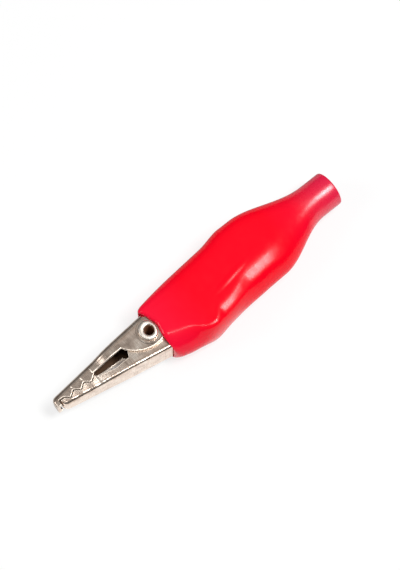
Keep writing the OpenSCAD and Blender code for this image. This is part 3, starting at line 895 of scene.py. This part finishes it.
# From under a lip, in to the tube
LIP_UNDER = [
    (LIP_R - 0.12, LIP_FOOT + 0.02), (RIVET_R + 0.15, LIP_FOOT), (RIVET_R + 0.04, LIP_FOOT),
    (RIVET_R, LIP_FOOT - 0.08),
]
rivet_profile = lip(1) + LIP_UNDER + [(r, -h) for r, h in LIP_UNDER[::-1]] + lip(-1)[::-1]
rivet_points, rivet_faces = lathe(rivet_profile, 96, rivet_place)
# The bore's wall gets -1: not metallic and painted dark, painted shade inside the tube
rivet_inner_shade = [-1.0 if math.hypot(x, y) < HOLE_R + 0.03 else 0.0 for x, y, z in rivet_points]
rivet = new_mesh("hinge_rivet_rolled", [(rivet_points, rivet_faces, rivet_inner_shade)])
finish_piece(rivet, rivet_steel, "hinge_rivet")
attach(rivet, "lower_jaw")

# ---- Spring: two legs and the coil between them
leg_up = Vector((LEG_L, top_line(LEG_L) - SHEET - WIRE_R - LEG_GAP))
leg_down = Vector((LEG_L, -low_line(LEG_L) + SHEET + WIRE_R + LEG_GAP))


def leave(p, side):
    """Angle at which a leg that ends at p leaves the coil."""
    return math.atan2(p.y, p.x) + side * math.acos(COIL_R / p.length)


coil_from = leave(leg_down, -1)
coil_to = leave(leg_up, 1) - 2 * math.pi * (COIL_TURNS + 1)
coil_rise = COIL_PITCH * (coil_from - coil_to) / (2 * math.pi)
COIL_STEPS = 200
coil = []
for i in range(COIL_STEPS + 1):
    a = mix(coil_from, coil_to, i / COIL_STEPS)
    coil.append((COIL_R * math.cos(a), COIL_R * math.sin(a), coil_rise * (i / COIL_STEPS - 0.5)))
spring = grow(
    "torsion_spring_wire", bar_tree(),
    [(*leg_down, -coil_rise / 2)] + coil + [(*leg_up, coil_rise / 2)],
    {"Radius": WIRE_R * MM, "Sides": 16, "Material": spring_steel},
)
finish_piece(spring, spring_steel, "torsion_spring")
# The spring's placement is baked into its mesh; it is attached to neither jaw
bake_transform(spring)

# ---- Screw: slotted pan head, shank and the thread that winds round it
DOME = HEAD_H * 0.45
SCREW_LOW = -SEAT_DOWN - HEAD_Y
SHANK_R = SCREW_R - 0.16
POINT = 0.12
HEAD_EDGE = 0.06
screw_profile = (
    [(0, SCREW_LOW), (SHANK_R - POINT, SCREW_LOW), (SHANK_R, SCREW_LOW + POINT), (SHANK_R, -0.02),
     (HEAD_R - HEAD_EDGE, 0), (HEAD_R, HEAD_EDGE)]
    + [(HEAD_R - DOME + DOME * math.cos(a), HEAD_H - DOME + DOME * math.sin(a))
       for a in (math.pi / 2 * i / 10 for i in range(11))]
    + [(0, HEAD_H)]
)
screw = new_mesh("wire_screw_turned", [
    lathe(screw_profile, 64, along_y(SCREW_X, HEAD_Y), closed=False),
])
slot_box = [
    (SCREW_X + x, HEAD_Y + y, z)
    for x in (-SLOT_W / 2, SLOT_W / 2) for y in (HEAD_H - SLOT_H, HEAD_H + 1) for z in (-3, 3)
]
BOX_SIDES = [(0, 1, 3, 2), (4, 6, 7, 5), (0, 4, 5, 1), (2, 3, 7, 6), (0, 2, 6, 4), (1, 5, 7, 3)]
cut(screw, [(slot_box, BOX_SIDES)])
THREAD_PITCH = 0.45
THREAD_R = 0.17
THREAD_IN = 0.15
THREAD_STEPS = 32
thread_turns = (HEAD_Y + SEAT_DOWN - 2 * THREAD_IN) / THREAD_PITCH
thread_path = []
for i in range(int(thread_turns * THREAD_STEPS) + 1):
    a = 2 * math.pi * i / THREAD_STEPS
    thread_path.append((
        SCREW_X + (SCREW_R - THREAD_R) * math.cos(a),
        -SEAT_DOWN + THREAD_IN + THREAD_PITCH * i / THREAD_STEPS,
        (SCREW_R - THREAD_R) * math.sin(a),
    ))
thread = grow("thread", bar_tree(), thread_path,
              {"Radius": THREAD_R * MM, "Sides": 4, "Material": screw_steel})
join(screw, thread)
finish_piece(screw, screw_steel, "wire_screw")
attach(screw, "wire_screw")


# ---- Boot: one closed skin from the mouth over the outside to the tail and back through the inside
def boot_top(x):
    if x < GRIP_X:
        return bend(x, (MOUTH_X, MOUTH_UP, MOUTH_SLOPE), (GRIP_X, GRIP_UP + COVER, GRIP_SLOPE))
    if x < LEVER_L:
        return top_line(x) + COVER
    return mix(LEVER_H + COVER, BORE_Y + TUBE_R, ease(x, SHOULDER_X, NECK_X))


def boot_low(x):
    return -low_line(x) - COVER


def boot_side(x):
    return mix(BOOT_HALF, TUBE_R, ease(x, SHOULDER_X, NECK_X))


# The flat side of the boot ends at a soft ridge, below which it rounds in under the narrower lower
# lever: station, height of the ridge, lean below it in degrees, length of the bend, how far the
# lean and the bottom reach before they round into each other, and how far the bottom hangs below
# the lever
RIDGE = [
    (1.15, -2.2, 28, 0.9, 0.9, 1.7, 0.45), (3.0, -3.05, 33, 0.9, 0.9, 1.7, 0.45),
    (5.0, -3.8, 33, 0.7, 0.8, 1.7, 0.3), (7.6, -5.4, 32, 0.4, 0.5, 1.6, 0.15),
    (8.5, -5.5, 30, 0.4, 0.5, 1.6, 0.1), (9.5, -5.15, 28, 0.6, 0.5, 1.6, 0.1),
    (10.6, -4.5, 26, 1.1, 0.5, 1.4, 0.1), (12.7, -4.2, 26, 1.1, 0.5, 1.4, 0.15),
    (14.8, -3.55, 25, 1.2, 0.5, 1.4, 0.15),
    (17.0, -2.75, 24, 1.5, 0.6, 1.4, 0.15), (20.0, -2.5, 24, 1.5, 0.6, 1.4, 0.1),
    (23.5, -2.15, 24, 1.7, 0.7, 1.4, 0.0), (29.0, 0.2, 12, 1.0, 1.4, 1.6, 0.0),
    (33.6, 0.8, 0, 0.01, 1.62, 1.62, 0.0),
]
# The room inside: height where it narrows, how steeply, and the radius of its lower corner
ROOM = [(1.15, -2.55, 30, 0.75), (5.0, -2.9, 20, 1.1), (8.5, -3.2, 0, 2.0), (12.0, -3.2, 0, 2.3)]
ARC_N = 12
FLAT_N = 8


def fillet(p, v, q, r):
    """Arc of radius r that rounds the corner v between p and q, all (y, z)."""
    p, v, q = Vector(p), Vector(v), Vector(q)
    a, b = (p - v).normalized(), (q - v).normalized()
    half = a.angle(b) / 2
    centre = v + (a + b).normalized() * r / math.sin(half)
    start = v + a * r / math.tan(half) - centre
    turn = math.copysign(math.pi - 2 * half, b.x * a.y - b.y * a.x)
    return [tuple(Matrix.Rotation(turn * i / ARC_N, 2) @ start + centre) for i in range(ARC_N + 1)]


def sweep(points, n):
    """Bezier curve of n steps over its control points."""
    line = []
    for i in range(n + 1):
        row = [Vector(p) for p in points]
        while len(row) > 1:
            row = [p.lerp(q, i / n) for p, q in zip(row, row[1:])]
        line.append(tuple(row[0]))
    return line


def straight(p, q):
    return [(mix(p[0], q[0], i / FLAT_N), mix(p[1], q[1], i / FLAT_N)) for i in range(1, FLAT_N)]


def lean_step(lean):
    return Vector((-math.cos(math.radians(lean)), -math.sin(math.radians(lean))))


def outer_half(top, low, side, up_r, ridge, lean, bend_l, side_reach, low_reach):
    """Half a section of the outer face (y, z), from the middle of its top to that of its bottom."""
    up = fillet((top, 0), (top, side), (ridge, side), up_r)
    bend_l = min(bend_l, up[-1][0] - ridge - APART)
    edge = Vector((ridge, side))
    down = edge + lean_step(lean) * bend_l
    soft = sweep([(ridge + bend_l, side), edge, down], ARC_N)
    foot = [down, down + lean_step(lean) * side_reach, (low, low_reach), (low, 0)]
    base = sweep(foot, 2 * FLAT_N + ARC_N)
    flat = [(top, up[0][1] * i / FLAT_N) for i in range(FLAT_N)]
    return flat + up + straight(up[-1], soft[0]) + soft + base[1:]


def inner_half(top, low, side, up_r, ridge, lean, low_r):
    """The same for the inner face, whose lower corner is an arc; it has as many points."""
    up = fillet((top, 0), (top, side), (ridge, side), up_r)
    foot = (low, side - math.tan(math.radians(lean)) * (ridge - low))
    base = fillet((ridge, side), foot, (low, 0), low_r)
    flat = [(top, up[0][1] * i / FLAT_N) for i in range(FLAT_N)]
    narrow = sweep([up[-1]] + [(ridge, side)] * 3 + [base[0]], 2 * FLAT_N + ARC_N - 1)[1:-1]
    return flat + up + narrow + base + straight(base[-1], (low, 0)) + [(low, 0)] * 2


def corner(x, radius):
    """Radius of a corner that is drawn out into the half round of the tail tube."""
    most = min(boot_top(x) - boot_low(x), 2 * boot_side(x)) / 2 - 2 * APART
    return mix(radius, most, ease(x, SHOULDER_X, NECK_X))


def boot_half(x, inside):
    top, low, side = boot_top(x), boot_low(x), boot_side(x)
    up_r = corner(x, mix(MOUTH_R, UPPER_FOLD_R + UPPER_EASE + WALL, ease(x, MOUTH_X, GRIP_X)))
    if not inside:
        shape = [curve(x, RIDGE, i) for i in range(1, 7)]
        return outer_half(top, low - shape.pop(), side, up_r, *shape)
    ridge, lean, low_r = (curve(x, ROOM, i) for i in range(1, 4))
    ridge = mix(ridge, BORE_Y, ease(x, SHOULDER_X, NECK_X))
    low_r = corner(x, low_r + WALL) - WALL
    return inner_half(
        top - WALL, low + WALL, side - WALL, up_r - WALL, ridge, max(lean, 0), low_r
    )


# Height on the clip, and how far back the mouth's edge lies there: it is scalloped round the
# rivet's lip
MOUTH_LINE = [
    (-5.4, 1.4), (-4.7, 1.2), (-3.9, 1.1), (-2.4, 1.0), (-1.25, 1.15), (-0.5, 1.36), (0.13, 1.42),
    (1.1, 1.2), (2.3, 0.85), (3.2, 0.5), (3.6, 0.62), (3.85, 0.95), (3.95, 1.25),
]


def boot_section(x, depth, shape_x=None):
    """Ring of the boot at x, with the shape of the one at shape_x if given. Depth goes from 0 on
    its outer face to 1 on its inner one."""
    s = x if shape_x is None else shape_x
    outer, inner = boot_half(s, False), boot_half(s, True)
    half = [(mix(p[0], q[0], depth), mix(p[1], q[1], depth)) for p, q in zip(outer, inner)]
    fade = 1 - ease(x, MOUTH_X, MOUTH_X + MOUTH_FADE)
    ring = half + [(y, -z) for y, z in half[-2:0:-1]]
    return [(x + fade * (curve(y, MOUTH_LINE) - MOUTH_X), y, z) for y, z in ring]


# The mouth is dipped thin: its outer edge is rounded long, its inner edge short
RIM_L, RIM_IN, RIM_SHARE = 0.75, 0.12, 0.7
TAIL_R = 0.25
TAIL_FROM = TUBE_END - TAIL_R
BORE_FROM = CAVITY_END + 0.3


def quarter(n):
    return [math.pi / 2 * i / n for i in range(n + 1)]


# The skin's rings in their order, as boot_section takes them
boot_path = (
    [(MOUTH_X + RIM_L * (1 - math.cos(a)), RIM_SHARE * (1 - math.sin(a))) for a in quarter(8)]
    + [(x, 0) for x in spread(MOUTH_X + RIM_L, NECK_X, 0.25)[1:]]
    + [(x, 0) for x in spread(NECK_X, TAIL_FROM, 0.5)]
    + [(TAIL_FROM + TAIL_R * math.sin(a), TAIL_R * (1 - math.cos(a)) / WALL) for a in quarter(6)]
    + [(TAIL_FROM + TAIL_R * math.cos(a), 1 - TAIL_R * (1 - math.sin(a)) / WALL)
       for a in quarter(6)]
    + [(x, 1, NECK_X) for x in spread(TAIL_FROM, BORE_FROM, 0.6)[1:] + [BORE_FROM]]
    + [(x, 1) for x in spread(CAVITY_END, MOUTH_X + RIM_IN, 0.5)]
    + [(MOUTH_X + RIM_IN * (1 - math.sin(a)), 1 - (1 - RIM_SHARE) * (1 - math.cos(a)))
       for a in quarter(4)]
)
boot = new_mesh("boot_dip_moulded", [skin([boot_section(*at) for at in boot_path], closed=True)])
finish_piece(boot, boot_pvc, "boot")
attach(boot, "boot")

# ---- Floor: white paper that shows white to the camera and in reflections, and keeps a soft shadow
FLOOR_HALF = 0.8
floor_mesh = bpy.data.meshes.new("floor")
floor_mesh.from_pydata(
    [(x * FLOOR_HALF, y * FLOOR_HALF, 0) for x, y in ((-1, -1), (1, -1), (1, 1), (-1, 1))],
    [], [(0, 1, 2, 3)],
)
floor = place_object("floor", floor_mesh)
paper = bpy.data.materials.new("matt_white_paper")
paper.use_nodes = True
tree = paper.node_tree
tree.nodes.clear()
rays = add(tree, "ShaderNodeLightPath").outputs
here = add(tree, "ShaderNodeTexCoord").outputs["Object"]
seen = reckon(tree, "MAXIMUM", rays["Is Camera Ray"], rays["Is Glossy Ray"])
seen = reckon(tree, "MAXIMUM", seen, rays["Is Transmission Ray"])
# Painted shade: in an oval under the jaws the paper isn't lightened, so that it is dark where the
# notch lets it show
UNDER_SHADE_MID, UNDER_SHADE_SIZE = (-5.6, 1.0, 0), (3.8, 1.2)
under = oval(tree, here, ROW_ORIGIN + Vector(UNDER_SHADE_MID) * MM, UNDER_SHADE_SIZE)
lit = reckon(tree, "MULTIPLY", seen, remap(tree, under, 0.8, 1.0, 0.0, 0.75))
matt = add(tree, "ShaderNodeBsdfDiffuse", values={"Color": linear("#ffffff")})
# What the clip mirrors of the paper is darker on its far side, which the key light doesn't reach
FAR_FROM, FAR_TO = -1, 5
across = add(tree, "ShaderNodeSeparateXYZ", {"Vector": here}).outputs["Y"]
far = remap(tree, across, FAR_FROM * MM, FAR_TO * MM, 1.0, 0.25)
shade = reckon(tree, "MAXIMUM", far, rays["Is Camera Ray"])
glow = add(tree, "ShaderNodeEmission", {"Color": shade}, {"Strength": 1.0})
both = add(tree, "ShaderNodeMixShader", {0: lit, 1: matt.outputs[0], 2: glow.outputs[0]})
add(tree, "ShaderNodeOutputMaterial", {"Surface": both.outputs[0]})
floor_mesh.materials.append(paper)

# ---- Light
world = bpy.data.worlds.new("studio")
bpy.context.scene.world = world
world.use_nodes = True
tree = world.node_tree
# A studio dome: bright overhead, dark round the horizon, and white where the camera looks past
# the floor
way = add(tree, "ShaderNodeTexCoord").outputs["Generated"]
dome = ramp(tree, add(tree, "ShaderNodeSeparateXYZ", {"Vector": way}).outputs["Z"], [
    (0.0, "#2c2c2c"), (0.3, "#484848"), (0.75, "#808080"), (1.0, "#8c8c8c"),
])
looked_at = add(tree, "ShaderNodeLightPath").outputs["Is Camera Ray"]
sky = add(tree, "ShaderNodeMix", {"Factor": looked_at, "A": dome}, {"B": linear("#ffffff")},
          data_type="RGBA")
tree.links.new(sky.outputs["Result"], tree.nodes["Background"].inputs["Color"])
tree.nodes["Background"].inputs["Strength"].default_value = 1.0
# How far the lamps are from the clip, in metres
LAMP_REACH = 0.6


def lamp(name, toward, width, height, radiance):
    """A soft lamp in a direction from the clip, so many degrees wide and high from there."""
    data = bpy.data.lights.new(name, "AREA")
    data.shape = "RECTANGLE"
    data.size, data.size_y = (
        2 * LAMP_REACH * math.tan(math.radians(degrees / 2)) for degrees in (width, height)
    )
    data.energy = radiance * math.pi * data.size * data.size_y
    obj = place_object(name, data)
    away = Vector(toward).normalized()
    across = away.cross(Vector((1, 0, 0))).normalized()
    obj.location = away * LAMP_REACH
    orient(obj, across.cross(away), across, away)


def orient(obj, right, up, back):
    """Turns a lamp or camera, given its three axes."""
    obj.rotation_mode = "QUATERNION"
    obj.rotation_quaternion = Matrix((right, up, back)).transposed().to_quaternion()


lamp("key_softbox", (0.27, -0.27, 0.93), 13, 20, 28.0)
lamp("top_softbox", (-0.06, -0.14, 0.987), 7, 7, 20.0)
lamp("fill_softbox", (-0.9, 0.5, 0.8), 22, 22, 4.5)

# ---- Camera
AZIMUTH, ELEVATION = math.radians(-40.0), math.radians(70.5)
DISTANCE = 0.243
LENS = 100.0
# The middle of the picture: a point of the clip, and how far right of it and above it
AIM_AT = (9.7, 0.325, 0.0)
AIM = (0.42, 1.78)
back = Vector((
    math.sin(AZIMUTH) * math.cos(ELEVATION), -math.cos(AZIMUTH) * math.cos(ELEVATION),
    math.sin(ELEVATION),
))
right = Vector((math.cos(AZIMUTH), math.sin(AZIMUTH), 0.0))
up = back.cross(right)
target = ROW_ORIGIN + (Vector(AIM_AT) + right * AIM[0] + up * AIM[1]) * MM
camera_data = bpy.data.cameras.new("camera")
camera_data.lens = LENS
camera_data.clip_start, camera_data.clip_end = 0.01, 10.0
camera = place_object("camera", camera_data)
camera.location = target + back * DISTANCE
orient(camera, right, up, back)
bpy.context.scene.camera = camera
bpy.context.scene.view_settings.view_transform = "Standard"
